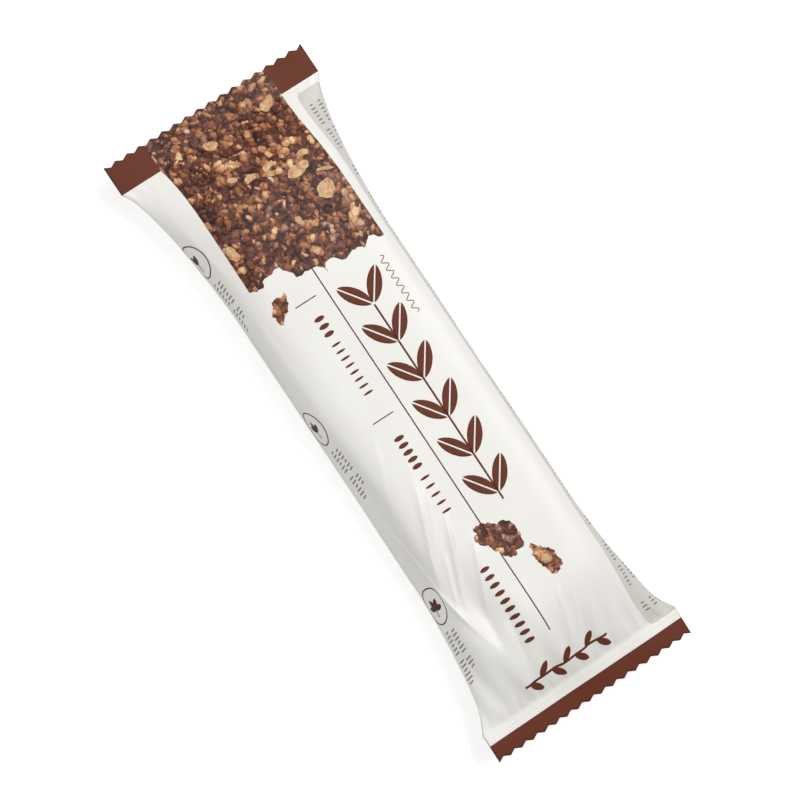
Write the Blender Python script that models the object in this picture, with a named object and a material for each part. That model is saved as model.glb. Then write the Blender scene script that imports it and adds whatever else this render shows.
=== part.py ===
"""A shut flow-wrap pack of one oat snack bar, lying on its back.

The pack is one tube of film round a bar, pressed flat and sealed at both ends, and cut there with a
zigzag knife. It can't be seen into, so it is one solid. +Z is up, out of the printed front. +Y runs
along the pack to its top seal, +X across it. The origin is on the table under the middle of the pack.
Sizes are in millimetres and become metres in the mesh.
"""

import math

import bmesh
import bpy
import numpy as np

MM = 0.001

# The film tube, pressed flat, and the finished pack.
FLAT_WIDTH = 50.0
LENGTH = 149.0
TEETH = 17
TOOTH_DEPTH = 0.72

# The end seals: two films pressed together, with crimps, so thicker than bare film.
TOP_SEAL = 6.9
BOTTOM_SEAL = 6.7
SEAL_THICKNESS = 0.5

# The body, where the film lies round the bar.
BODY_WIDTH = 37.8
BODY_THICKNESS = 15.0
TOP_TAPER = 36.0
BOTTOM_TAPER = 33.0
SHOULDER = 22.0
NECK_FLARE = 1.35
NECK_LENGTH = 2.5
TAPER_POWER = 1.6
SHOULDER_POWER = 2.6

# Exponents of a section: x to the first plus z to the second. Near a seal it is a lens with sharp
# edges, and round the bar a box with rounded edges.
LENS = (2.0, 1.2)
BOX = (9.0, 2.8)
SQUARING = 38.0
SECTION_SAMPLES = 2001

# The lengthwise seal on the back, folded over and lying flat.
FIN_THICKNESS = 0.4
FIN_FIRST = 14
FIN_LAST = 22

# Pleats that run out of a seal into the shoulder, and the long dent in the left wall.
PLEAT_DEPTH = 0.28
PLEAT_START = 3.0
PLEAT_REACH = 17.0
PLEAT_EDGE = 6.0
PLEAT_TURN = 0.95
PLEAT_SLANT = 0.05
DENT_DEPTH = 0.9
DENT_LOW = -30.0
DENT_LOW_FADE = 14.0
DENT_HIGH = 2.0
DENT_HIGH_FADE = 26.0
DENT_EDGE = 0.55 * BODY_WIDTH / 2
DENT_SIDE_FADE = 5.0

# The grid: half a tooth across, and rows that are closer where the form changes.
HALF_RING = 2 * TEETH
TAPER_ROWS = 19
BODY_ROWS = 10
ROW_SPREAD = 1.35

FILM_COLOUR = (0.82, 0.81, 0.78, 1.0)
FILM_ROUGHNESS = 0.42
SHARP_ANGLE = 40

MID_HEIGHT = BODY_THICKNESS / 2 + FIN_THICKNESS
Y_TOP = LENGTH / 2
Y_BOTTOM = -LENGTH / 2
TOP_EDGE = Y_TOP - TOP_SEAL
BOTTOM_EDGE = Y_BOTTOM + BOTTOM_SEAL


def clear_scene():
    for obj in list(bpy.data.objects):
        bpy.data.objects.remove(obj)


def ease(value):
    """0 below 0, 1 above 1, and smooth between."""
    held = min(max(value, 0.0), 1.0)
    return held * held * (3 - 2 * held)


def inward(y):
    """Distance from the nearest seal's inner edge, and the length of the taper there."""
    from_top = TOP_EDGE - y
    from_bottom = y - BOTTOM_EDGE
    if from_top < from_bottom:
        return from_top, TOP_TAPER
    return from_bottom, BOTTOM_TAPER


def half_width(y):
    """Half the width: full at a seal, a quick flare at its neck, then a long taper to the bar."""
    distance, taper = inward(y)
    if distance <= 0:
        return FLAT_WIDTH / 2
    body = BODY_WIDTH / 2
    gain = FLAT_WIDTH / 2 - body - NECK_FLARE
    left = max(1 - distance / taper, 0.0)
    return body + gain * left**TAPER_POWER + NECK_FLARE * math.exp(-distance / NECK_LENGTH)


def half_thickness(y):
    """Half the thickness: the films part at about 40 degrees, then round off over the bar's end."""
    distance, _ = inward(y)
    seal = SEAL_THICKNESS / 2
    left = 1 - min(max(distance / SHOULDER, 0.0), 1.0)
    return seal + (BODY_THICKNESS / 2 - seal) * (1 - left**SHOULDER_POWER)


def exponents(y):
    distance, _ = inward(y)
    square = ease(distance / SQUARING)
    return [lens + (box - lens) * square for lens, box in zip(LENS, BOX)]


def half_section(y):
    """The upper half of a section, from the left edge to the right, at even steps along the film."""
    wide, thick = half_width(y), half_thickness(y)
    if inward(y)[0] <= 0:
        x = np.linspace(-wide, wide, HALF_RING + 1)
        z = np.full(HALF_RING + 1, thick)
        z[[0, -1]] = 0.0
        return x, z
    power_x, power_z = exponents(y)
    angle = np.linspace(math.pi, 0.0, SECTION_SAMPLES)
    cosine, sine = np.cos(angle), np.clip(np.sin(angle), 0.0, 1.0)
    x = wide * np.sign(cosine) * np.abs(cosine) ** (2 / power_x)
    z = thick * sine ** (2 / power_z)
    run = np.concatenate([[0.0], np.cumsum(np.hypot(np.diff(x), np.diff(z)))])
    even = np.linspace(0.0, run[-1], HALF_RING + 1)
    return np.interp(even, run, x), np.interp(even, run, z)


def pleats(x, y):
    """How far the front is raised or sunk by the pleats of the seal nearby."""
    distance, _ = inward(y)
    fade = ease(distance / PLEAT_START) * ease(1 - distance / PLEAT_REACH)
    across = ease((FLAT_WIDTH / 2 - abs(x)) / PLEAT_EDGE)
    return PLEAT_DEPTH * fade * across * math.sin(PLEAT_TURN * x + PLEAT_SLANT * y)


def dent(x, y):
    """How far the left wall is pushed in, along the lower half of the pack."""
    along = ease((y - DENT_LOW) / DENT_LOW_FADE) * ease((DENT_HIGH - y) / DENT_HIGH_FADE)
    across = ease((-x - DENT_EDGE) / DENT_SIDE_FADE)
    return DENT_DEPTH * along * across


def ring(y):
    """Points round one section: over the front from left to right, then under the back."""
    xs, zs = half_section(y)
    on_body = inward(y)[0] > 0
    front = []
    for x, z in zip(xs, zs):
        front.append((x + dent(x, y), z + pleats(x, y) if 0 < z else z))
    back = []
    for index in range(HALF_RING - 1, 0, -1):
        x, z = xs[index], -zs[index]
        lift = FIN_THICKNESS if on_body and FIN_FIRST <= index <= FIN_LAST else 0.0
        edge = index in (FIN_FIRST, FIN_LAST)
        if edge and index == FIN_LAST:
            back.append((x + dent(x, y), z))
        back.append((x + dent(x, y), z - lift))
        if edge and index == FIN_FIRST:
            back.append((x + dent(x, y), z))
    return front + back


def row_positions():
    """Where the sections stand: both cut ends, both seals' inner edges, the tapers and the body."""
    def spread(start, end, count):
        share = np.linspace(0.0, 1.0, count + 1)[1:] ** ROW_SPREAD
        return [start + (end - start) * part for part in share]

    lower = spread(BOTTOM_EDGE, BOTTOM_EDGE + BOTTOM_TAPER, TAPER_ROWS)
    upper = spread(TOP_EDGE, TOP_EDGE - TOP_TAPER, TAPER_ROWS)[::-1]
    body = list(np.linspace(lower[-1], upper[0], BODY_ROWS + 1)[1:-1])
    return [Y_BOTTOM, BOTTOM_EDGE] + lower + body + upper + [TOP_EDGE, Y_TOP]


def tooth(x, y):
    """How far the zigzag cut stands back from its tips: none at a tip, the tooth's depth at a valley."""
    if abs(y) < Y_TOP:
        return 0.0
    step = round((x + FLAT_WIDTH / 2) / FLAT_WIDTH * HALF_RING)
    return TOOTH_DEPTH if step % 2 else 0.0


def add_ring(mesh, y):
    points = []
    for x, z in ring(y):
        cut = y - math.copysign(tooth(x, y), y)
        points.append(mesh.verts.new((x * MM, cut * MM, (z + MID_HEIGHT) * MM)))
    return points


def join_rings(mesh, lower, upper):
    count = len(lower)
    for i in range(count):
        j = (i + 1) % count
        mesh.faces.new((lower[i], lower[j], upper[j], upper[i]))


def close_end(mesh):
    """Closes a cut end: each open edge of the front is joined to the one under it on the back."""
    open_edges = [edge for edge in mesh.edges if edge.is_boundary]
    for y in (Y_BOTTOM, Y_TOP):
        here = [e for e in open_edges if abs(e.verts[0].co.y - y * MM) < 2 * TOOTH_DEPTH * MM]
        middle = MID_HEIGHT * MM
        front = [e for e in here if sum(v.co.z for v in e.verts) > 2 * middle]
        for edge in front:
            left, right = sorted(edge.verts, key=lambda vert: vert.co.x)
            under = []
            for vert in (right, left):
                twin = min(
                    (v for e in here for v in e.verts if v.co.z <= middle),
                    key=lambda v: abs(v.co.x - vert.co.x),
                )
                if twin is not vert:
                    under.append(twin)
            mesh.faces.new([left, right] + under)


def film_material():
    material = bpy.data.materials.new("film")
    material.use_nodes = True
    shader = material.node_tree.nodes["Principled BSDF"]
    shader.inputs["Base Color"].default_value = FILM_COLOUR
    shader.inputs["Roughness"].default_value = FILM_ROUGHNESS
    shader.inputs["Metallic"].default_value = 0.0
    return material


def make_pack(collection):
    mesh = bmesh.new()
    rings = [add_ring(mesh, y) for y in row_positions()]
    for lower, upper in zip(rings, rings[1:]):
        join_rings(mesh, lower, upper)
    bmesh.ops.remove_doubles(mesh, verts=mesh.verts, dist=1e-6)
    close_end(mesh)
    bmesh.ops.triangulate(mesh, faces=mesh.faces)
    bmesh.ops.recalc_face_normals(mesh, faces=mesh.faces)
    data = bpy.data.meshes.new("wrapped_bar")
    mesh.to_mesh(data)
    mesh.free()
    data.shade_smooth()
    data.set_sharp_from_angle(angle=math.radians(SHARP_ANGLE))
    data.materials.append(film_material())
    pack = bpy.data.objects.new("wrapped_bar", data)
    collection.objects.link(pack)
    return pack


clear_scene()
parts = bpy.data.collections.new("wrapped_snack_bar")
bpy.context.scene.collection.children.link(parts)
make_pack(parts)
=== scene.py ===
# %% [markdown]
# # A wrapped snack bar
#
# This lesson builds the looks of a shut flow-wrap pack. A machine prints a flat web of film, folds it
# round the bar into a tube, seals it along the back and across both ends, and cuts it with a zigzag
# knife. The script follows the same order: first the shape that the web takes, then the web itself,
# then what is printed on it. Lengths are in millimetres until a mesh is finished.

# %% Load the frame
import math
import random

import bmesh
import bpy
import numpy as np
from mathutils import Matrix, Vector


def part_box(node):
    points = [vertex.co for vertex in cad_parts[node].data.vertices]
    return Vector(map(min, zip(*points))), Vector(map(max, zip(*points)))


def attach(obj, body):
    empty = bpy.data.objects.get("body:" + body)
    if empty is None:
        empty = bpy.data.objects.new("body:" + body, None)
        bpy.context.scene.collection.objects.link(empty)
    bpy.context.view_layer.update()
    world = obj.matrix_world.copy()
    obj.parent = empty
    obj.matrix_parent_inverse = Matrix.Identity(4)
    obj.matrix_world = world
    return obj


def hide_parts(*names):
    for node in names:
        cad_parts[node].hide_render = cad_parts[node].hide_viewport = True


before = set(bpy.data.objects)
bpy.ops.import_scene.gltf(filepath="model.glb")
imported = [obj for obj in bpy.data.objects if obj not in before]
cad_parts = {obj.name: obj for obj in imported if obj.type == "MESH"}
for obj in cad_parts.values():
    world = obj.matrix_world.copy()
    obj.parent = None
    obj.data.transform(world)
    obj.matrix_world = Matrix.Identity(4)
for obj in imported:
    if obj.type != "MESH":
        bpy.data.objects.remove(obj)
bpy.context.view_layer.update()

MM = 0.001
LOW, HIGH = [Vector(corner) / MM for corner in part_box("wrapped_bar")]
print("pack box in mm:", [round(side, 1) for side in HIGH - LOW])

# %% [markdown]
# ## Sizes of the formed pack
#
# The flat width, the length and the height come from the frame. The rest are the machine's settings:
# how tall the seals are, how wide the body is, and how fast the film narrows from a seal to the bar.
# Heights are counted from the plane of the seals, which lie halfway up the body.

# %% Sizes
FLAT = HIGH.x - LOW.x
LENGTH = HIGH.y - LOW.y
FIN_RISE = 0.4
BODY_HIGH = HIGH.z - LOW.z - FIN_RISE
MIDDLE = LOW.z + FIN_RISE + BODY_HIGH / 2
GIRTH = 2 * FLAT
TEETH = 17
TOOTH_DEPTH = 0.72
TOP_SEAL = 6.9
BOTTOM_SEAL = 6.7
BOTTOM_BAND = 4.0
TOP_EDGE = LENGTH / 2 - TOP_SEAL
BOTTOM_EDGE = BOTTOM_SEAL - LENGTH / 2
BAND_EDGE = BOTTOM_BAND - LENGTH / 2
SEAL_THICK = 0.24
BODY_WIDE = 37.8
TOP_TAPER, BOTTOM_TAPER = 36.0, 33.0
SHOULDER = 22.0
FLARE, FLARE_LENGTH = 1.35, 2.5
LENS, BOX = (2.0, 1.2), (9.0, 2.8)
SQUARING = 38.0
TAPER_POWER, SHOULDER_POWER = 1.6, 2.6
ASKEW = 0.0155
print("seal plane at", round(MIDDLE, 2), "mm, film girth", round(GIRTH, 1), "mm")


# %% [markdown]
# ## The shape that the film takes
#
# Near a seal a cut across the pack is a flat lens with sharp edges. Round the bar it is a box with
# rounded edges. Both are one curve with two exponents, so one formula can glide from lens to box.
# A place on the web is u, the distance round the tube from the middle of the front, and v, the
# distance along it. Each row's curve is measured once, and u is read off along it, so that the print
# doesn't stretch.

# %% Row by row
def ease(value):
    held = np.clip(value, 0.0, 1.0)
    return held * held * (3 - 2 * held)


def inward(v):
    """Distance in from the nearer seal's inner edge, and the taper's length there."""
    if TOP_EDGE - v < v - BOTTOM_EDGE:
        return TOP_EDGE - v, TOP_TAPER
    return v - BOTTOM_EDGE, BOTTOM_TAPER


def row_sizes(v):
    """Half the width, half the thickness and the two exponents of the row at v."""
    distance, taper = inward(v)
    seal = SEAL_THICK / 2
    if distance <= 0:
        return FLAT / 2, seal, 8.0, 1.6
    slow = max(1 - distance / taper, 0.0) ** TAPER_POWER
    wide = BODY_WIDE / 2 + (FLAT / 2 - BODY_WIDE / 2 - FLARE) * slow
    wide += FLARE * math.exp(-distance / FLARE_LENGTH)
    left = 1 - min(distance / SHOULDER, 1.0)
    thick = seal + (BODY_HIGH / 2 - seal) * (1 - left**SHOULDER_POWER)
    square = float(ease(distance / SQUARING))
    powers = [lens + (box - lens) * square for lens, box in zip(LENS, BOX)]
    return wide, thick, powers[0], powers[1]


def quarter(v):
    """A quarter of the row's curve, from the middle of the front to the right-hand edge."""
    wide, thick, px, pz = row_sizes(v)
    x = np.linspace(0.0, 0.93, 90)
    z = (1 - x**px) ** (1 / pz)
    fall = np.linspace(z[-1], 0.0, 60)[1:]
    x = np.concatenate([x, (1 - fall**pz) ** (1 / px)]) * wide
    z = np.concatenate([z, fall]) * thick
    run = np.concatenate([[0.0], np.cumsum(np.hypot(np.diff(x), np.diff(z)))])
    return run, x, z


def row_points(v, us):
    """Where the web's places us lie across the pack, in the row at v."""
    run, x, z = quarter(v)
    near = np.where(np.abs(us) <= FLAT / 2, np.abs(us), FLAT - np.abs(us))
    slack = FLAT / 2 - run[-1]
    along = near - slack * (near / (FLAT / 2)) ** 3
    front = np.where(np.abs(us) <= FLAT / 2, 1.0, -1.0)
    return np.sign(us) * np.interp(along, run, x), front * np.interp(along, run, z)


# %% [markdown]
# ## Folds, pleats and creases
#
# Film can't stretch, so where the tube goes from flat to thick it puckers. Long pleats fan out of each
# seal, tight puckers sit right against it, and slanting tension creases cross the front where the
# pack was gripped. Each one is a small height along the film's own normal. The list holds the creases
# one by one: where each starts and ends on the web, how high it stands and how wide it is.

# %% Relief of the film
CREASES = [
    # u start, v start, u end, v end, height, width
    (-15.4, -45.0, -6.4, -23.0, 0.85, 0.50),
    (-18.4, -39.5, -8.2, -14.5, 0.80, 0.65),
    (-11.8, -48.5, -4.2, -30.0, 0.62, 0.55),
    (-13.6, -31.0, -7.2, -15.0, 0.38, 0.45),
    (-16.8, -44.0, -11.4, -30.0, 0.40, 0.40),
    (-8.8, -44.0, -3.4, -31.0, 0.20, 0.60),
    (-16.6, -18.5, -10.4, -2.0, 0.16, 0.70),
    (-13.2, -27.0, -6.6, -9.0, 0.13, 0.90),
    (0.6, -63.5, 4.8, -48.5, 0.34, 0.45),
    (2.8, -64.5, 7.4, -50.5, 0.28, 0.40),
    (-1.6, -64.5, 1.6, -54.0, -0.18, 0.70),
    (-9.5, -62.5, -7.0, -45.0, -0.80, 1.60),
    (-12.5, -56.0, -10.6, -42.0, -0.32, 1.20),
    (5.8, -65.5, 9.8, -54.5, 0.12, 0.50),
    (-20.5, 57.0, -17.6, 38.0, 0.22, 1.10),
    (16.5, 60.0, 18.2, 38.0, 0.18, 1.00),
    (-17.0, 36.0, -16.2, 12.0, -0.16, 1.30),
]
FOLD_START, FOLD_END = (-24.6, -15.0), (-12.9, -57.0)
FOLD_HIGH, FOLD_WIDE = 0.80, 0.65
WALL_DENT, HOLLOW, SEAL_DENT, SHOULDER_PRESS = 2.0, 1.9, 0.6, 0.22


def ridge(u, v, start, end, height, width, sharp=1.4):
    """A crease from start to end that fades out at both ends."""
    reach = math.dist(start, end)
    du, dv = (end[0] - start[0]) / reach, (end[1] - start[1]) / reach
    along = (u - start[0]) * du + (v - start[1]) * dv
    across = (u - start[0]) * dv - (v - start[1]) * du
    fade = ease(along / (0.35 * reach)) * ease((reach - along) / (0.35 * reach))
    return height * fade * np.exp(-np.abs(across / width) ** sharp)


def pleats(u, v):
    """Pleats that fan out of both seals, and the puckers that sit right against them."""
    total = np.zeros_like(u)
    for edge, sign, reach, turn in ((TOP_EDGE, -1, 15.0, 0.4), (BOTTOM_EDGE, 1, 21.0, 2.1)):
        distance = sign * (v - edge)
        long_fade = ease(distance / 4.0) * ease(1 - distance / reach)
        fan = u * (1 - 0.012 * distance)
        wave = np.sin(0.62 * fan + turn) + 0.55 * np.sin(1.37 * fan + 2 * turn + 0.06 * distance)
        total += (0.09 if sign < 0 else 0.26) * long_fade * wave
        short_fade = ease(distance / 0.8) * ease(1 - distance / 5.5)
        total += 0.07 * short_fade * (np.sin(2.3 * u + turn) + 0.6 * np.sin(3.9 * u + 3 * turn))
    return total


def swells(u, v):
    """Slow unevenness of loose film, from a few long waves that don't line up."""
    waves = (
        (0.10, 0.11, 0.05, 0.3), (0.07, -0.13, 0.11, 1.9), (0.03, 0.26, 0.13, 4.0),
        (0.015, 0.42, -0.19, 2.2), (0.012, -0.55, 0.23, 5.1),
    )
    return sum(size * np.sin(a * u + b * v + turn) for size, a, b, turn in waves)


def relief(u, v):
    """Height of the film off its plain shape, along its normal."""
    inside = ease((TOP_EDGE - v) / 6.0) * ease((v - BOTTOM_EDGE) / 6.0)
    on_back = ease((np.abs(u) - 27.0) / 5.0)
    height = (1 - 0.75 * on_back) * (inside * swells(u, v) + pleats(u, v))
    for u0, v0, u1, v1, high, wide in CREASES:
        height += ridge(u, v, (u0, v0), (u1, v1), high, wide)
    # The gripped corner: a long dent in the left wall, a sharp fold that runs out of it, a hollow
    # beside the fold, and a smaller dent near the seal. The shoulders are pressed a little flatter.
    wall = ease((v + 52.0) / 20.0) * ease((8.0 - v) / 24.0)
    height -= WALL_DENT * wall * np.exp(-(((u + 20.4) / 3.9) ** 2))
    height += ridge(u, v, FOLD_START, FOLD_END, FOLD_HIGH, FOLD_WIDE, sharp=1.1)
    height -= HOLLOW * np.exp(-(((u + 12.2) / 3.6) ** 2) - ((v + 46.0) / 10.0) ** 2)
    height -= SEAL_DENT * np.exp(-(((u + 21.5) / 3.0) ** 2) - ((v + 55.0) / 7.5) ** 2)
    shoulders = ease((62.0 - np.abs(v)) / 20.0)
    height -= SHOULDER_PRESS * shoulders * np.exp(-(((np.abs(u) - 17.5) / 3.2) ** 2))
    return height


# %% [markdown]
# ## The formed web as a table
#
# The same shape is needed by the film and by everything printed on it. So it is worked out once, on a
# fine table of places: the columns are an eighth of a tooth apart, which puts a column on every tip
# and valley of the cut, and a row runs along each edge of the brown bands.

# %% Table of places
COLUMNS = 16 * TEETH
US = np.linspace(-FLAT, FLAT, COLUMNS + 1)
STRETCHES = [
    (-LENGTH / 2, BAND_EDGE, 10), (BAND_EDGE, BOTTOM_EDGE, 7),
    (BOTTOM_EDGE, TOP_EDGE, 286), (TOP_EDGE, LENGTH / 2, 17),
]
VS = np.concatenate([np.linspace(a, b, n + 1)[1:] for a, b, n in STRETCHES])
VS = np.concatenate([[-LENGTH / 2], VS])
CUT_REACH = 2.2
CRIMP_PITCH, CRIMP_DEPTH = 0.95, 0.055
DROOP = 0.75


def cut_depth(us):
    """How far the zigzag cut stands back from the tips of its teeth, with the corners worn round."""
    near = np.where(np.abs(us) <= FLAT / 2, us, np.sign(us) * FLAT - us)
    phase = ((near + FLAT / 2) / FLAT * TEETH) % 1.0
    wave = 1 - np.abs(2 * phase - 1)
    return TOOTH_DEPTH * (0.8 * wave + 0.2 * wave * wave * (3 - 2 * wave))


def seal_lift(us, v):
    """Crimp lines, slight waviness and the bottom seal's droop, the same for both films."""
    near = np.where(np.abs(us) <= FLAT / 2, us, np.sign(us) * FLAT - us)
    depth = -inward(v)[0]
    crimp = CRIMP_DEPTH * math.sin(2 * math.pi * depth / CRIMP_PITCH) * float(ease(depth / 0.6))
    bend = float(ease((depth + 3.0) / 10.0)) * math.copysign(1.0, v)
    wavy = 0.30 * np.sin(0.17 * near + 0.8 * bend) + 0.12 * np.sin(0.43 * near + 2.0 + v / 40)
    droop = DROOP * float(ease(depth / 9.0)) if v < 0 else 0.0
    return crimp * float(ease(depth / 0.3)) - droop + wavy * float(ease((depth + 4.0) / 8.0))


def form_web():
    """Positions on the table: across, along and up, in millimetres."""
    grid = np.zeros((len(US), len(VS), 3))
    cut = cut_depth(US)
    for j, v in enumerate(VS):
        x, z = row_points(v, US)
        if j in (0, len(VS) - 1):
            z = z * 0.0
        pull = max(1 - (LENGTH / 2 - abs(v)) / CUT_REACH, 0.0)
        grid[:, j, 0] = x
        grid[:, j, 1] = v - math.copysign(1.0, v) * cut * pull - ASKEW * x
        grid[:, j, 2] = z + seal_lift(US, v)
    return grid


def normals_of(grid):
    across = np.gradient(grid, axis=0)
    across[0] = across[-1] = grid[1] - grid[-2]
    along = np.gradient(grid, axis=1)
    normal = np.cross(across, along)
    length = np.linalg.norm(normal, axis=2, keepdims=True)
    return normal / np.maximum(length, 1e-9)


PLACES = form_web()
U_GRID, V_GRID = np.meshgrid(US, VS, indexing="ij")
PLACES += normals_of(PLACES) * relief(U_GRID, V_GRID)[:, :, None]
PLACES[:, :, 2] = np.maximum(PLACES[:, :, 2], -BODY_HIGH / 2)
NORMALS = normals_of(PLACES)
PLACES[:, :, 2] += MIDDLE
print("table of", PLACES.shape[0], "by", PLACES.shape[1], "places")


def wrap(us, vs, lift=0.0):
    """Places on the formed film of any web places, raised by lift, in metres."""
    i = np.clip(np.interp(us, US, np.arange(len(US))), 0, len(US) - 1.001)
    j = np.clip(np.interp(vs, VS, np.arange(len(VS))), 0, len(VS) - 1.001)
    i0, j0 = i.astype(int), j.astype(int)
    fi, fj = (i - i0)[:, None], (j - j0)[:, None]

    def blend(table):
        low = table[i0, j0] * (1 - fi) + table[i0 + 1, j0] * fi
        high = table[i0, j0 + 1] * (1 - fi) + table[i0 + 1, j0 + 1] * fi
        return low * (1 - fj) + high * fj

    return (blend(PLACES) + blend(NORMALS) * lift) * MM


# %% [markdown]
# ## Helpers for nodes and pieces
#
# A material is a small tree of nodes. Writing every link in full hides what the tree does, so three
# helpers make a node, a sum and a mix. A finished piece keeps its object at the origin, and its place
# is in its mesh.

# %% Helpers
def srgb(red, green, blue):
    """A colour as screens state it, 0 to 255, turned into the linear light that shaders use."""
    def linear(value):
        share = value / 255
        return share / 12.92 if share <= 0.04045 else ((share + 0.055) / 1.055) ** 2.4
    return (linear(red), linear(green), linear(blue), 1.0)


def add_node(tree, kind, links=None, **settings):
    """A node with its settings, and its inputs linked or set by name or number."""
    made = tree.nodes.new(kind)
    for name, value in settings.items():
        setattr(made, name, value)
    for name, value in (links or {}).items():
        if isinstance(value, bpy.types.NodeSocket):
            tree.links.new(value, made.inputs[name])
        else:
            made.inputs[name].default_value = value
    return made


def maths(tree, operation, first, second=0.0, third=0.0):
    links = {0: first, 1: second, 2: third}
    return add_node(tree, "ShaderNodeMath", links, operation=operation).outputs[0]


def vector_maths(tree, operation, first, second=(0.0, 0.0, 0.0)):
    made = add_node(tree, "ShaderNodeVectorMath", {0: first, 1: second}, operation=operation)
    return made.outputs["Value" if operation in ("LENGTH", "DOT_PRODUCT") else "Vector"]


def mix_colour(tree, share, first, second, blend="MIX"):
    links = {"Factor": share, 6: first, 7: second}
    made = add_node(tree, "ShaderNodeMix", links, data_type="RGBA", blend_type=blend)
    return made.outputs[2]


def new_material(name, colour, roughness):
    material = bpy.data.materials.new(name)
    material.use_nodes = True
    tree = material.node_tree
    shader = tree.nodes["Principled BSDF"]
    shader.inputs["Base Color"].default_value = colour
    shader.inputs["Roughness"].default_value = roughness
    return material, tree, shader


def finish_piece(name, mesh, materials):
    """Makes the object of a finished mesh, smooth, riding on the pack's body."""
    data = bpy.data.meshes.new(name)
    mesh.to_mesh(data)
    mesh.free()
    for material in materials:
        data.materials.append(material)
    data.shade_smooth()
    piece = bpy.data.objects.new(name, data)
    bpy.context.scene.collection.objects.link(piece)
    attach(piece, "root")
    return piece


# %% [markdown]
# ## The film's finish
#
# The film is white plastic with a satin face: light spreads softly and glows along the shoulders.
# Close up it isn't perfectly even. A slow change of tone and a very fine bump keep it from looking
# like painted metal. The brown bands are the same film under solid ink, so they share the bump.

# %% Film and ink
FILM_WHITE = srgb(241, 239, 234)
INK_BROWN = srgb(107, 53, 36)


def film_bump(tree, shader, strength=0.16):
    """The fine unevenness of pulled film, in object coordinates."""
    place = add_node(tree, "ShaderNodeTexCoord").outputs["Object"]
    links = {"Vector": place, "Scale": 420.0, "Detail": 3.0, "Roughness": 0.55}
    fine = add_node(tree, "ShaderNodeTexNoise", links).outputs[0]
    links = {"Vector": place, "Scale": 95.0, "Detail": 2.0, "Roughness": 0.5}
    broad = add_node(tree, "ShaderNodeTexNoise", links).outputs[0]
    height = maths(tree, "MULTIPLY_ADD", broad, 1.6, fine)
    links = {"Strength": strength, "Distance": 0.00012, "Height": height}
    bump = add_node(tree, "ShaderNodeBump", links)
    tree.links.new(bump.outputs[0], shader.inputs["Normal"])
    return place


def film_material(name, colour, darker, roughness, gloss=0.5):
    material, tree, shader = new_material(name, colour, roughness)
    shader.inputs["Specular IOR Level"].default_value = gloss
    place = film_bump(tree, shader)
    links = {"Vector": place, "Scale": 55.0, "Detail": 2.0}
    cloud = add_node(tree, "ShaderNodeTexNoise", links).outputs[0]
    tone = mix_colour(tree, cloud, colour, darker)
    tree.links.new(tone, shader.inputs["Base Color"])
    return material


white_film = film_material("white_film", FILM_WHITE, srgb(236, 233, 227), 0.36)
brown_ink = film_material("brown_ink", INK_BROWN, srgb(102, 50, 34), 0.5, 0.15)
print("film and band ink ready")

# %% [markdown]
# ## The film
#
# The web starts as a flat grid. Each corner of the grid then moves to its place on the formed pack.
# The two long edges meet on the back and are merged, and so are the two films along each cut, which
# leaves one closed skin. The rows that lie in a brown band take the second material.

# %% Form the film
def make_film():
    mesh = bmesh.new()
    bmesh.ops.create_grid(mesh, x_segments=COLUMNS, y_segments=len(VS) - 1, size=1.0)
    for vert in mesh.verts:
        i = round((vert.co.x + 1) / 2 * COLUMNS)
        j = round((vert.co.y + 1) / 2 * (len(VS) - 1))
        vert.co = PLACES[i, j] * MM
        vert.index = j
    for face in mesh.faces:
        middle = sum(VS[vert.index] for vert in face.verts) / 4
        face.material_index = 1 if middle > TOP_EDGE or middle < BAND_EDGE else 0
    edge = [vert for vert in mesh.verts if vert.is_boundary]
    bmesh.ops.remove_doubles(mesh, verts=edge, dist=2e-6)
    bmesh.ops.dissolve_degenerate(mesh, edges=mesh.edges, dist=1e-7)
    open_edges = sum(1 for one in mesh.edges if one.is_boundary)
    print("film:", len(mesh.faces), "faces,", open_edges, "open edges")
    return finish_piece("film", mesh, [white_film, brown_ink])


film = make_film()
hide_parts("wrapped_bar")

# %% [markdown]
# ## The seal along the back
#
# The two long edges of the web are pressed face to face into a fin, which is then folded flat against
# the back. It runs into both end seals. The machine's wheels press fine lines across it, so its
# underside is flat but for those lines. The pack rests on this strip.

# %% Back seal
FIN_LEFT, FIN_RIGHT = -4.4, 7.35
FIN_PITCH, FIN_LINE = 1.1, 0.035
FIN_COLUMNS, FIN_ROWS = 12, 260


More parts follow.
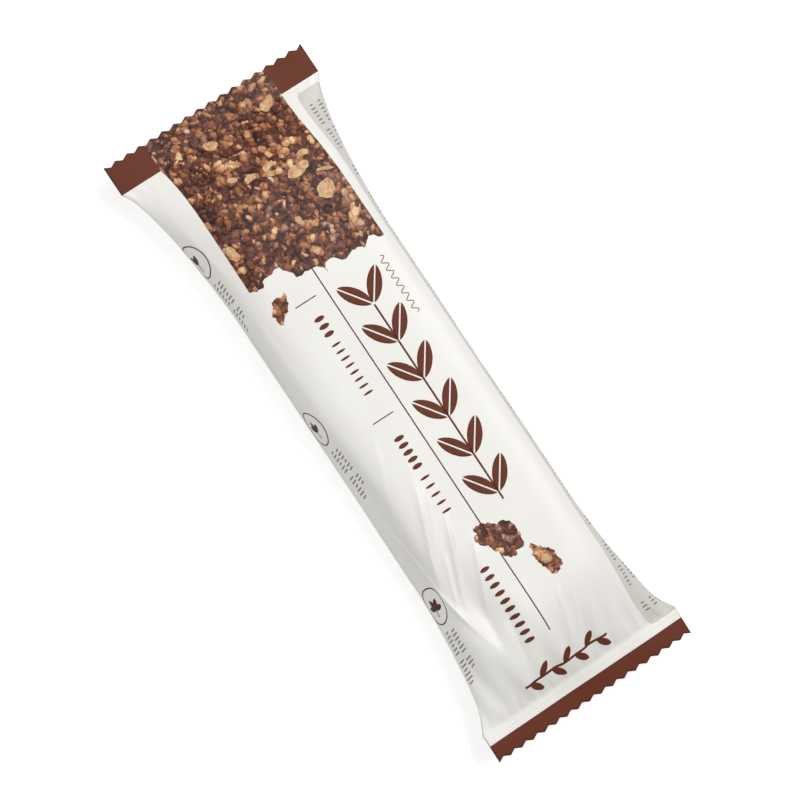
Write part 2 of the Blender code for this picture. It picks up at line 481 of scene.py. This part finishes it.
def make_fin():
    """A flat strip under the body that follows the back up to the end seals."""
    mesh = bmesh.new()
    bmesh.ops.create_grid(mesh, x_segments=FIN_COLUMNS, y_segments=FIN_ROWS, size=1.0)
    reach = LENGTH / 2 - TOOTH_DEPTH - 0.2
    under, over = {}, {}
    for vert in mesh.verts:
        x = FIN_LEFT + (FIN_RIGHT - FIN_LEFT) * (vert.co.x + 1) / 2
        y = reach * vert.co.y
        i = np.abs(US - math.copysign(FLAT - abs(x), x)).argmin()
        j = np.abs(VS - y).argmin()
        back = PLACES[i, j, 2]
        edge = min(1.0, (1 - abs(vert.co.x)) * 8, (1 - abs(vert.co.y)) * 60)
        drop = FIN_RISE - 2 * FIN_LINE + FIN_LINE * math.sin(2 * math.pi * y / FIN_PITCH)
        drop *= 0.35 + 0.65 * max(edge, 0.0) ** 0.5
        y = PLACES[i, j, 1] + y - VS[j]
        under[vert] = Vector((x, y, max(back - drop, 0.0))) * MM
        over[vert] = Vector((x, y, back + 0.05)) * MM
    upper = bmesh.ops.duplicate(mesh, geom=mesh.verts[:] + mesh.edges[:] + mesh.faces[:])["vert_map"]
    for vert, place in under.items():
        vert.co = place
        upper[vert].co = over[vert]
    edges = [edge for edge in mesh.edges if edge.is_boundary]
    bmesh.ops.bridge_loops(mesh, edges=edges)
    bmesh.ops.recalc_face_normals(mesh, faces=mesh.faces)
    print("back seal:", len(mesh.faces), "faces")
    return finish_piece("back_seal", mesh, [white_film])


back_seal = make_fin()

# %% [markdown]
# ## How a print is made
#
# The printer puts flat shapes on the web before it is folded, and so does this script. A print starts
# flat, with u and v as its coordinates. It is sliced along the film's own grid lines, so that it can
# bend exactly where the film bends. Then it gets a hair of thickness, which closes it, and every
# corner moves to its place on the formed film. The flat coordinates stay behind as a UV map named
# web, for patterns that follow the film.

# %% From a flat shape to a print
INK_TOP, INK_BOTTOM = 0.035, -0.03


def slice_along(mesh, lines, axis):
    """Cuts a flat mesh along each grid line that crosses it."""
    heights = [vert.co[axis] for vert in mesh.verts]
    normal = Vector((1.0, 0.0, 0.0)) if axis == 0 else Vector((0.0, 1.0, 0.0))
    for line in lines[(lines > min(heights)) & (lines < max(heights))]:
        everything = mesh.verts[:] + mesh.edges[:] + mesh.faces[:]
        bmesh.ops.bisect_plane(mesh, geom=everything, dist=1e-5, plane_co=normal * line, plane_no=normal)


def press(name, mesh, material, top=INK_TOP):
    """Presses a flat shape onto the formed film and finishes it as a piece."""
    bmesh.ops.triangulate(mesh, faces=mesh.faces)
    slice_along(mesh, US, 0)
    slice_along(mesh, VS, 1)
    made = bmesh.ops.extrude_face_region(mesh, geom=mesh.faces[:])
    under = [item for item in made["geom"] if isinstance(item, bmesh.types.BMVert)]
    bmesh.ops.translate(mesh, verts=under, vec=(0.0, 0.0, INK_BOTTOM - top))
    bmesh.ops.recalc_face_normals(mesh, faces=mesh.faces)
    web = mesh.loops.layers.uv.new("web")
    for face in mesh.faces:
        for loop in face.loops:
            loop[web].uv = loop.vert.co.xy
    flat = np.array([vert.co for vert in mesh.verts])
    placed = wrap(flat[:, 0], flat[:, 1], flat[:, 2:] + top)
    for vert, place in zip(mesh.verts, placed):
        vert.co = place
    print(name, len(mesh.faces), "faces")
    return finish_piece(name, mesh, [material])


def turned(mesh, verts, place, angle=0.0, scale=(1.0, 1.0)):
    """Scales, turns and moves part of a flat mesh."""
    bmesh.ops.scale(mesh, verts=verts, vec=(*scale, 1.0))
    bmesh.ops.rotate(mesh, verts=verts, matrix=Matrix.Rotation(angle, 3, "Z"))
    bmesh.ops.translate(mesh, verts=verts, vec=(*place, 0.0))


def add_leaf(mesh, place, angle, long, wide, point=1.6, slit=0.0):
    """A pointed oval along angle. A slit splits it down its middle."""
    halves = (1, -1) if slit else (0,)
    for side in halves:
        verts = bmesh.ops.create_circle(mesh, cap_ends=True, segments=28, radius=1.0)["verts"]
        for vert in verts:
            high = math.copysign(abs(vert.co.y) ** point, vert.co.y)
            vert.co.y = max(high * side, 0.0) * side if side else high
        turned(mesh, verts, (0.0, side * slit / 2), 0.0, (long / 2, wide / 2))
        bmesh.ops.remove_doubles(mesh, verts=verts, dist=1e-4)
        verts = [vert for vert in verts if vert.is_valid]
        turned(mesh, verts, place, angle)


def add_stroke(mesh, route, width, steps):
    """A line of ink: a strip of quads laid along route, a function of a share from 0 to 1."""
    made = bmesh.ops.create_grid(mesh, x_segments=steps, y_segments=1, size=1.0)["verts"]
    for vert in made:
        share = (vert.co.x + 1) / 2
        here = Vector(route(share))
        ahead = Vector(route(min(share + 1e-3, 1.0))) - Vector(route(max(share - 1e-3, 0.0)))
        side = Vector((-ahead.y, ahead.x)).normalized() * (width / 2 * vert.co.y)
        vert.co = (here.x + side.x, here.y + side.y, 0.0)


def straight(start, end):
    return lambda share: (
        start[0] + (end[0] - start[0]) * share,
        start[1] + (end[1] - start[1]) * share,
    )


def add_ring(mesh, centre, radius, width):
    inner = bmesh.ops.create_circle(mesh, cap_ends=False, segments=64, radius=radius - width / 2)
    edges = list({edge for vert in inner["verts"] for edge in vert.link_edges})
    outer = bmesh.ops.extrude_edge_only(mesh, edges=edges)["geom"]
    verts = [item for item in outer if isinstance(item, bmesh.types.BMVert)]
    grow = (radius + width / 2) / (radius - width / 2)
    bmesh.ops.scale(mesh, verts=verts, vec=(grow, grow, 1.0))
    bmesh.ops.translate(mesh, verts=verts + inner["verts"], vec=(*centre, 0.0))


# %% [markdown]
# ## The picture of toasted oats
#
# A picture of a granola slab is thousands of flakes. Drawing each would be slow, so the shader
# scatters them: a cell pattern gives every cell a centre and random numbers, and around that centre
# an oval of random turn, length and size is drawn. Each flake is lighter on the side towards the
# light and darker at its rim. Several layers lie over each other, from big dark lumps to a few pale
# nuts. The layers only carry a lightness and a kind, and two colour ramps turn those into chocolate
# and toasted oat.

# %% Flakes
CHOCOLATE = (
    (0.0, (36, 21, 19)), (0.22, (72, 43, 37)), (0.42, (99, 61, 51)),
    (0.62, (129, 84, 69)), (0.82, (172, 126, 105)), (1.0, (224, 196, 173)),
)
OAT = (
    (0.0, (44, 24, 17)), (0.22, (88, 47, 31)), (0.42, (129, 76, 51)),
    (0.62, (168, 111, 74)), (0.82, (206, 156, 110)), (1.0, (238, 206, 162)),
)


def colour_ramp(tree, share, stops):
    made = add_node(tree, "ShaderNodeValToRGB", {"Fac": share})
    points = made.color_ramp.elements
    while len(points) < len(stops):
        points.new(0.5)
    for point, (place, colour) in zip(points, stops):
        point.position = place
        point.color = srgb(*colour)
    return made.outputs["Color"]


def scattered(tree, place, size, turn, share, wide=0.36, bend=0.62):
    """One layer of flakes of about size millimetres: its mask, shading, and two random numbers."""
    moved = vector_maths(tree, "ADD", place, (17.3 * turn, 9.1 * turn, 0.0))
    links = {"Vector": moved, "Scale": 1.7 / size, "Detail": 3.0, "Roughness": 0.62}
    noise = add_node(tree, "ShaderNodeTexNoise", links).outputs["Color"]
    shift = vector_maths(tree, "SUBTRACT", noise, (0.5, 0.5, 0.5))
    shift = vector_maths(tree, "MULTIPLY", shift, (bend * size, bend * size, 0.0))
    bent = vector_maths(tree, "ADD", moved, shift)
    links = {"Vector": bent, "Scale": 1 / size}
    cells = add_node(tree, "ShaderNodeTexVoronoi", links, voronoi_dimensions="2D")
    local = vector_maths(tree, "SUBTRACT", bent, cells.outputs["Position"])
    random_three = add_node(tree, "ShaderNodeSeparateColor", {"Color": cells.outputs["Color"]})
    first, second, third = random_three.outputs
    links = {"Vector": local, "Angle": maths(tree, "MULTIPLY", first, 2 * math.pi)}
    spun = add_node(tree, "ShaderNodeVectorRotate", links, rotation_type="Z_AXIS").outputs[0]
    slim = maths(tree, "MULTIPLY_ADD", second, 1.9, 1.0)
    squeeze = add_node(tree, "ShaderNodeCombineXYZ", {"X": 1.0, "Y": slim, "Z": 0.0}).outputs[0]
    reach = vector_maths(tree, "LENGTH", vector_maths(tree, "MULTIPLY", spun, squeeze))
    half = maths(tree, "MULTIPLY_ADD", third, 0.30 * size, wide * size)
    rim = maths(tree, "DIVIDE", reach, half)
    soft = {"Value": rim, "From Min": 1.0, "From Max": 0.88, "To Min": 0.0, "To Max": 1.0}
    mask = add_node(tree, "ShaderNodeMapRange", soft, interpolation_type="SMOOTHSTEP").outputs[0]
    extra = add_node(tree, "ShaderNodeTexWhiteNoise", {"Vector": cells.outputs["Position"]})
    chosen = maths(tree, "LESS_THAN", extra.outputs["Value"], share)
    mask = maths(tree, "MULTIPLY", mask, chosen)
    lit = vector_maths(tree, "DOT_PRODUCT", local, (0.75, 0.65, 0.0))
    lit = maths(tree, "DIVIDE", lit, half)
    rim = maths(tree, "POWER", maths(tree, "MINIMUM", rim, 1.0), 4.0)
    shade = maths(tree, "MULTIPLY_ADD", rim, -0.36, maths(tree, "MULTIPLY", lit, 0.22))
    kinds = add_node(tree, "ShaderNodeSeparateColor", {"Color": extra.outputs["Color"]})
    return mask, shade, kinds.outputs[1], kinds.outputs[2]


def mix_value(tree, share, first, second):
    made = add_node(tree, "ShaderNodeMix", {"Factor": share, 2: first, 3: second})
    return made.outputs[0]


LAYERS = (
    # size, share that is drawn, lightness, how much it varies, part that is oat
    (3.9, 0.95, 0.48, 0.30, 0.30),
    (2.8, 0.80, 0.52, 0.40, 0.40),
    (1.6, 0.65, 0.46, 0.55, 0.45),
    (2.4, 0.60, 0.58, 0.40, 0.50),
    (1.2, 0.40, 0.52, 0.70, 0.50),
    (2.9, 0.30, 0.74, 0.25, 0.90),
    (1.9, 0.20, 0.82, 0.25, 0.70),
    (5.4, 0.10, 0.90, 0.08, 1.00),
)


def oat_picture(name, lighter=0.0, oatier=0.0):
    material, tree, shader = new_material(name, srgb(130, 92, 76), 0.45)
    shader.inputs["Specular IOR Level"].default_value = 0.22
    film_bump(tree, shader)
    place = add_node(tree, "ShaderNodeUVMap", uv_map="web").outputs[0]
    links = {"Vector": place, "Scale": 1.6, "Detail": 4.0, "Roughness": 0.65}
    grit = add_node(tree, "ShaderNodeTexNoise", links).outputs[0]
    light = maths(tree, "MULTIPLY_ADD", grit, 0.9, -0.15)
    kind = 0.3
    for turn, (size, share, level, spread, oat) in enumerate(LAYERS):
        mask, shade, pick, tone = scattered(tree, place, size, turn + 1, share)
        tone = maths(tree, "MULTIPLY_ADD", tone, spread, shade)
        tone = maths(tree, "ADD", tone, level - spread / 2)
        light = mix_value(tree, mask, light, tone)
        kind = mix_value(tree, mask, kind, maths(tree, "LESS_THAN", pick, oat))
    links = {"Vector": place, "Scale": 0.42, "Randomness": 1.0}
    gaps = add_node(tree, "ShaderNodeTexVoronoi", links, voronoi_dimensions="2D",
                    feature="DISTANCE_TO_EDGE").outputs["Distance"]
    soft = {"Value": gaps, "From Min": 0.0, "From Max": 0.16, "To Min": -0.22, "To Max": 0.0}
    gaps = add_node(tree, "ShaderNodeMapRange", soft).outputs[0]
    links = {"Vector": place, "Scale": 3.4, "Detail": 5.0, "Roughness": 0.75, "Distortion": 0.6}
    fine = add_node(tree, "ShaderNodeTexNoise", links).outputs[0]
    light = maths(tree, "ADD", light, maths(tree, "MULTIPLY_ADD", fine, 0.9, lighter - 0.45))
    light = maths(tree, "ADD", light, gaps)
    links = {"Vector": place, "Scale": 0.15, "Detail": 2.0}
    clumps = add_node(tree, "ShaderNodeTexNoise", links).outputs[0]
    light = maths(tree, "ADD", light, maths(tree, "MULTIPLY_ADD", clumps, 0.55, -0.26))
    kind = maths(tree, "ADD", kind, maths(tree, "MULTIPLY_ADD", clumps, 0.8, oatier - 0.4))
    kind = maths(tree, "MINIMUM", maths(tree, "MAXIMUM", kind, 0.0), 1.0)
    colour = mix_colour(tree, kind, colour_ramp(tree, light, CHOCOLATE), colour_ramp(tree, light, OAT))
    tree.links.new(colour, shader.inputs["Base Color"])
    return material


dark_oats = oat_picture("dark_oats")
mixed_oats = oat_picture("mixed_oats", 0.04, 0.1)
pale_oats = oat_picture("pale_oats", 0.07, 0.4)
print("oat pictures of", len(LAYERS), "layers of flakes")

# %% [markdown]
# ## The oat field and the loose crumbs
#
# The picture runs from the top cut to a broken lower edge, as if a piece had been bitten off. That
# edge follows a few points and is then roughened by halving each stretch and nudging its middle.
# Three crumbs have fallen from it. A crumb's outline is a circle whose radius swings with its angle.

# %% Oat field and crumbs
BROKEN_EDGE = (
    (15.9, 31.4), (12.7, 32.9), (7.8, 32.2), (3.5, 33.1), (-1.3, 33.5), (-3.0, 33.8),
    (-6.2, 35.7), (-9.2, 37.1), (-11.9, 36.8), (-12.6, 35.5), (-15.6, 36.3),
)


def roughened(points, amount, seed):
    """The same line with each stretch halved and nudged sideways, four times over."""
    draw = random.Random(seed)
    for _ in range(4):
        finer = [points[0]]
        for (u0, v0), (u1, v1) in zip(points, points[1:]):
            nudge = draw.uniform(-amount, amount) * math.dist((u0, v0), (u1, v1))
            middle = ((u0 + u1) / 2 + (v0 - v1) * nudge, (v0 + v1) / 2 + (u1 - u0) * nudge)
            finer += [middle, (u1, v1)]
        points = finer
    return points


def flat_face(outline):
    mesh = bmesh.new()
    mesh.faces.new([mesh.verts.new((u, v, 0.0)) for u, v in outline])
    return mesh


CRUMB_WAVES = (3, 5, 8, 13, 21, 34)
CRUMB_SWING = 0.30
CRUMB_STEPS = 110


def crumb_outline(centre, long, wide, angle, seed, rough=1.0):
    draw = random.Random(seed)
    swings = []
    for n in CRUMB_WAVES:
        size = draw.uniform(0.6, 1.0) * CRUMB_SWING * rough / n**0.68
        swings.append((n, size, draw.uniform(0, 6.3)))
    outline = []
    for step in range(CRUMB_STEPS):
        turn = 2 * math.pi * step / CRUMB_STEPS
        radius = 1 + sum(size * math.sin(n * turn + start) for n, size, start in swings)
        x, y = radius * math.cos(turn) * long / 2, radius * math.sin(turn) * wide / 2
        outline.append((
            centre[0] + x * math.cos(angle) - y * math.sin(angle),
            centre[1] + x * math.sin(angle) + y * math.cos(angle),
        ))
    return outline


CRUMBS = (
    # name, centre, long, wide, angle, material
    ("crumb_top", (-12.0, 30.0), 6.0, 3.3, 0.85, pale_oats),
    ("crumb_middle", (0.0, -34.7), 10.6, 6.6, -0.85, mixed_oats),
    ("crumb_bottom", (6.0, -43.7), 7.6, 3.9, -1.25, pale_oats),
)
FIELD_LEFT, FIELD_RIGHT = -15.0, 15.4
broken = roughened(BROKEN_EDGE, 0.11, seed=5)
corners = [(FIELD_LEFT, LENGTH / 2), (FIELD_RIGHT, LENGTH / 2)]
press("oat_field", flat_face(corners + broken), dark_oats)
for number, (name, centre, long, wide, angle, material) in enumerate(CRUMBS):
    press(name, flat_face(crumb_outline(centre, long, wide, angle, 11 + number)), material)

# %% [markdown]
# ## Nut chips
#
# A few pale chips of nut lie on the oats, larger than any flake. Each is a rough outline with straight
# bites, printed over the field in a pale tan that is mottled like a cut nut.

# %% Nut chips
NUT_CHIPS = (
    # centre, long, wide, angle
    ((7.9, 52.4), 6.0, 2.7, 0.12),
    ((10.6, 45.9), 4.8, 3.9, 0.55),
    ((13.0, 49.6), 4.2, 0.9, -0.35),
    ((10.9, 54.9), 3.2, 1.5, -0.15),
    ((-14.0, 44.9), 2.4, 4.0, 0.2),
    ((1.9, 43.2), 1.4, 2.8, 0.25),
    ((-4.9, 57.8), 2.4, 1.3, -0.4),
    ((-1.6, 56.2), 3.2, 1.7, 0.1),
    ((2.9, 56.4), 2.9, 1.6, 0.3),
    ((13.6, 43.2), 1.8, 1.6, 0.9),
    ((11.4, 67.4), 3.6, 2.4, 0.3),
    ((-3.6, 66.4), 3.3, 2.3, -0.3),
)
NUT_SHRINK = 0.92
NUT_TOP = 0.045


def nut_material():
    material, tree, shader = new_material("nut", srgb(214, 176, 134), 0.45)
    shader.inputs["Specular IOR Level"].default_value = 0.22
    film_bump(tree, shader)
    place = add_node(tree, "ShaderNodeUVMap", uv_map="web").outputs[0]
    links = {"Vector": place, "Scale": 0.9, "Detail": 5.0, "Roughness": 0.7, "Distortion": 0.5}
    mottle = add_node(tree, "ShaderNodeTexNoise", links).outputs[0]
    stops = (
        (0.28, (140, 88, 56)), (0.42, (196, 148, 104)), (0.56, (221, 182, 138)), (0.75, (242, 220, 186)),
    )
    tree.links.new(colour_ramp(tree, mottle, stops), shader.inputs["Base Color"])
    return material


nut = nut_material()
for number, (centre, long, wide, angle) in enumerate(NUT_CHIPS):
    long, wide = long * NUT_SHRINK, wide * NUT_SHRINK
    outline = crumb_outline(centre, long, wide, angle, 31 + number, rough=0.6)
    inside = [(max(u, FIELD_LEFT), v) for u, v in outline]
    press(f"nut_{number + 1}", flat_face(inside), nut, top=NUT_TOP)

# %% [markdown]
# ## The inks on the white
#
# The rest of the print is brown and grey ink: a long rule, two ticks, an oat stalk, small marks in
# rows, three badges on the left wall and a pale panel on the right. The marks stand where a real
# pack has its words, and are plain seeds and dashes, so nothing on the pack can be read.

# %% Inks
rule_ink = film_material("rule_ink", srgb(84, 52, 44), srgb(78, 48, 40), 0.5, 0.2)
pale_ink = film_material("pale_ink", srgb(140, 112, 102), srgb(132, 104, 95), 0.5, 0.2)
grey_ink = film_material("grey_ink", srgb(138, 133, 129), srgb(130, 126, 122), 0.5, 0.3)
panel_ink = film_material("panel_ink", srgb(210, 206, 200), srgb(206, 202, 196), 0.38)


def press_strokes(name, strokes, material, steps=2):
    mesh = bmesh.new()
    for route, width in strokes:
        add_stroke(mesh, route, width, steps)
    return press(name, mesh, material)


press_strokes("long_rule", [
    (straight((-1.55, 34.0), (-1.7, -32.5)), 0.26), (straight((-1.72, -37.5), (-1.75, -56.6)), 0.26),
], rule_ink)
ticks = [(straight((-9.2, v), (-4.0, v)), 0.22) for v in (28.4, -0.6)]
press_strokes("tick_rules", ticks, rule_ink)

# %% The oat stalk
STALK_U, STALK_TOP, STALK_BOTTOM = 5.3, 28.2, -28.4
PAIRS = 6


def make_stalk():
    """Six pairs of oat grains on one stem."""
    mesh = bmesh.new()
    pitch = (STALK_TOP - STALK_BOTTOM) / PAIRS
    add_stroke(mesh, straight((STALK_U, STALK_BOTTOM), (STALK_U, STALK_TOP - 8.0)), 0.42, 2)
    for pair in range(PAIRS):
        root = STALK_BOTTOM + pitch * pair + 1.2
        for side in (-1, 1):
            lean = math.radians(90 - side * 36)
            place = (STALK_U + side * 2.55, root + 3.9)
            add_leaf(mesh, place, lean, 8.0, 3.0, point=1.5, slit=0.34)
    return press("oat_stalk", mesh, brown_ink)


make_stalk()

# %% Rows of small marks
def add_marks(mesh, u, start, count, pitch, long, wide, point=1.1):
    """A row of small upright seeds down the pack, from start."""
    for step in range(count):
        add_leaf(mesh, (u, start - pitch * (step + 0.5)), 0.0, long, wide, point)


def press_marks(name, rows, material):
    mesh = bmesh.new()
    for row in rows:
        add_marks(mesh, *row)
    return press(name, mesh, material)


press_marks("bold_marks", [
    (-6.2, 24.8, 3, 1.85, 2.4, 1.05),
    (-6.2, -5.1, 5, 1.72, 2.4, 1.00),
    (-6.5, -37.6, 10, 1.95, 2.4, 0.95),
], brown_ink)
press_marks("light_marks", [
    (-6.2, 18.4, 8, 1.72, 2.3, 0.50),
    (-6.2, -14.7, 5, 2.05, 2.3, 0.55),
], brown_ink)


def wave(u, start, end, size, turns):
    return lambda share: (
        u + size * math.sin(2 * math.pi * turns * share),
        start + (end - start) * share,
    )


press_strokes("flourish", [(wave(12.3, 28.1, 14.0, 0.62, 7.5), 0.2)], pale_ink, steps=90)


SPRIG_V = -64.2


def make_sprig():
    """A lying sprig of leaves near the bottom seal."""
    mesh = bmesh.new()
    add_stroke(mesh, straight((-12.3, SPRIG_V), (8.9, SPRIG_V)), 0.5, 2)
    for step in range(7):
        u = -10.9 + 2.9 * step
        side = 1 if step % 2 else -1
        add_leaf(mesh, (u + 1.15, SPRIG_V + side * 1.2), side * 0.72, 3.5, 1.5, point=1.3)
    return press("sprig", mesh, brown_ink)


make_sprig()

# %% Badges on the left wall
BADGES = ((-23.3, 47.5), (-23.3, 5.0), (-23.3, -39.6))
BADGE_RADIUS, BADGE_LINE = 4.05, 0.27


def make_badges():
    mesh = bmesh.new()
    for number, (u, v) in enumerate(BADGES):
        add_ring(mesh, (u, v), BADGE_RADIUS, BADGE_LINE)
        for leaf in range(2 + number):
            angle = math.pi / 2 + (leaf - (1 + number) / 2) * 0.95
            place = (u + 1.15 * math.cos(angle), v - 0.6 + 1.15 * math.sin(angle))
            add_leaf(mesh, place, angle, 2.5, 1.25, point=1.3)
        add_stroke(mesh, straight((u, v - 2.4), (u, v - 0.4)), 0.25, 2)
    return press("badges", mesh, rule_ink)


make_badges()


def cross_marks(u, start, end, pitch, long, slant=0.0):
    """Short strokes across the pack, one after another along it, in uneven groups like words."""
    strokes = []
    for step in range(int(abs(end - start) / pitch)):
        if step % 7 == 6:
            continue
        v = start - pitch * (step + 0.5)
        reach = long / 2 * (1.0 if step % 3 else 0.65)
        strokes.append((straight((u - reach, v - slant), (u + reach, v + slant)), 0.3))
    return strokes


wall_rows = []
for u, v in BADGES:
    for right, end in ((2.5, 16.0), (-0.1, 18.5)):
        wall_rows += cross_marks(u + right, v - 5.6, v - end, 0.95, 1.9, 0.2)
press_strokes("wall_marks", wall_rows, grey_ink, steps=1)

# %% Panel on the right
PANEL_LEFT, PANEL_RIGHT, PANEL_TOP, PANEL_BOTTOM = 18.3, 33.5, 65.8, -68.3


def make_panel():
    mesh = bmesh.new()
    bmesh.ops.create_grid(mesh, x_segments=1, y_segments=1, size=0.5)
    size = (PANEL_RIGHT - PANEL_LEFT, PANEL_TOP - PANEL_BOTTOM)
    centre = ((PANEL_LEFT + PANEL_RIGHT) / 2, (PANEL_TOP + PANEL_BOTTOM) / 2)
    turned(mesh, mesh.verts[:], centre, 0.0, size)
    bmesh.ops.bevel(mesh, geom=mesh.verts[:], offset=1.0, segments=4, profile=0.5,
                    affect="VERTICES", material=-1)
    return press("panel", mesh, panel_ink, top=0.02)


make_panel()
table_rows = []
for column in range(5):
    u = PANEL_LEFT + 2.0 + 2.7 * column
    for start in np.arange(PANEL_TOP - 3.0, PANEL_BOTTOM + 12.0, -22.0):
        table_rows += cross_marks(u, start, start - 13.0 + 2.0 * (column % 2), 0.9, 1.3)
        table_rows += cross_marks(u, start - 15.5, start - 19.0, 0.9, 1.3)
press_strokes("panel_marks", table_rows, grey_ink, steps=1)

# %% [markdown]
# ## Camera, light and table
#
# The pack is seen from almost straight above, turned a little so that its left wall shows. The lens
# is long, as in product pictures, so both ends look the same width. A large soft lamp on the right,
# a weaker one on the left and a pale sky light it. The sky is pure white to the camera only, and the
# table adds a little white of its own to the camera, so it is white where it is lit and still takes
# a soft shadow.

# %% Camera
SIDE_TILT = math.radians(13.0)
END_TILT = math.radians(2.0)
ROLL = math.radians(33.68)
SPAN = 167.5
LENS_LENGTH = 240.0
SENSOR = 36.0
AIM_RIGHT, AIM_UP = 0.02, 0.46


def make_camera():
    away = Vector((-math.sin(SIDE_TILT), math.sin(END_TILT), math.cos(SIDE_TILT))).normalized()
    pack_right = Vector((0.0, 1.0, 0.0)).cross(away).normalized()
    pack_up = away.cross(pack_right)
    right = pack_right * math.cos(ROLL) - pack_up * math.sin(ROLL)
    up = pack_right * math.sin(ROLL) + pack_up * math.cos(ROLL)
    target = Vector((0.0, 0.0, MIDDLE)) + right * AIM_RIGHT + up * AIM_UP
    data = bpy.data.cameras.new("camera")
    data.lens = LENS_LENGTH
    data.sensor_width = SENSOR
    camera = bpy.data.objects.new("camera", data)
    turn = Matrix((right, up, away)).transposed().to_4x4()
    distance = SPAN * LENS_LENGTH / SENSOR
    camera.matrix_world = Matrix.Translation((target + away * distance) * MM) @ turn
    bpy.context.scene.collection.objects.link(camera)
    bpy.context.scene.camera = camera
    print("camera", round(distance), "mm from the pack")
    return right, up, away


VIEW_RIGHT, VIEW_UP, VIEW_AWAY = make_camera()
bpy.context.scene.view_settings.view_transform = "Standard"


# %% Light and table
def add_lamp(name, place, size, power):
    """A white square lamp at place, in metres, facing the pack."""
    data = bpy.data.lights.new(name, "AREA")
    data.size = size
    data.energy = power
    lamp = bpy.data.objects.new(name, data)
    lamp.location = place
    lamp.rotation_mode = "QUATERNION"
    lamp.rotation_quaternion = (-place).to_track_quat("-Z", "Y")
    bpy.context.scene.collection.objects.link(lamp)


def make_world():
    world = bpy.data.worlds.new("studio")
    world.use_nodes = True
    bpy.context.scene.world = world
    tree = world.node_tree
    sky = tree.nodes["Background"]
    sky.inputs["Color"].default_value = (1.0, 1.0, 1.0, 1.0)
    path = add_node(tree, "ShaderNodeLightPath")
    seen = path.outputs["Is Camera Ray"]
    strength = maths(tree, "MULTIPLY_ADD", seen, 1.0 - SKY, SKY)
    tree.links.new(strength, sky.inputs["Strength"])


def make_table():
    mesh = bmesh.new()
    bmesh.ops.create_grid(mesh, x_segments=1, y_segments=1, size=3.0)
    data = bpy.data.meshes.new("table")
    mesh.to_mesh(data)
    mesh.free()
    material, tree, shader = new_material("table_white", (0.8, 0.8, 0.8, 1.0), 0.9)
    shader.inputs["Specular IOR Level"].default_value = 0.0
    path = add_node(tree, "ShaderNodeLightPath")
    glow = maths(tree, "MULTIPLY", path.outputs["Is Camera Ray"], TABLE_GLOW)
    shader.inputs["Emission Color"].default_value = (1.0, 1.0, 1.0, 1.0)
    tree.links.new(glow, shader.inputs["Emission Strength"])
    data.materials.append(material)
    table = bpy.data.objects.new("table", data)
    bpy.context.scene.collection.objects.link(table)


SKY = 0.44
TABLE_GLOW = 0.55
LAMP_SIZE = 0.7
KEY_POWER, FILL_POWER = 6.4, 3.0
KEY_PLACE = VIEW_RIGHT * 0.55 + VIEW_UP * 0.45 + VIEW_AWAY * 0.75
FILL_PLACE = VIEW_UP * 0.45 - VIEW_RIGHT * 0.8 + VIEW_AWAY * 0.55
make_world()
make_table()
add_lamp("key", KEY_PLACE, LAMP_SIZE, KEY_POWER)
add_lamp("fill", FILL_PLACE, LAMP_SIZE, FILL_POWER)
print("lamps and table ready")
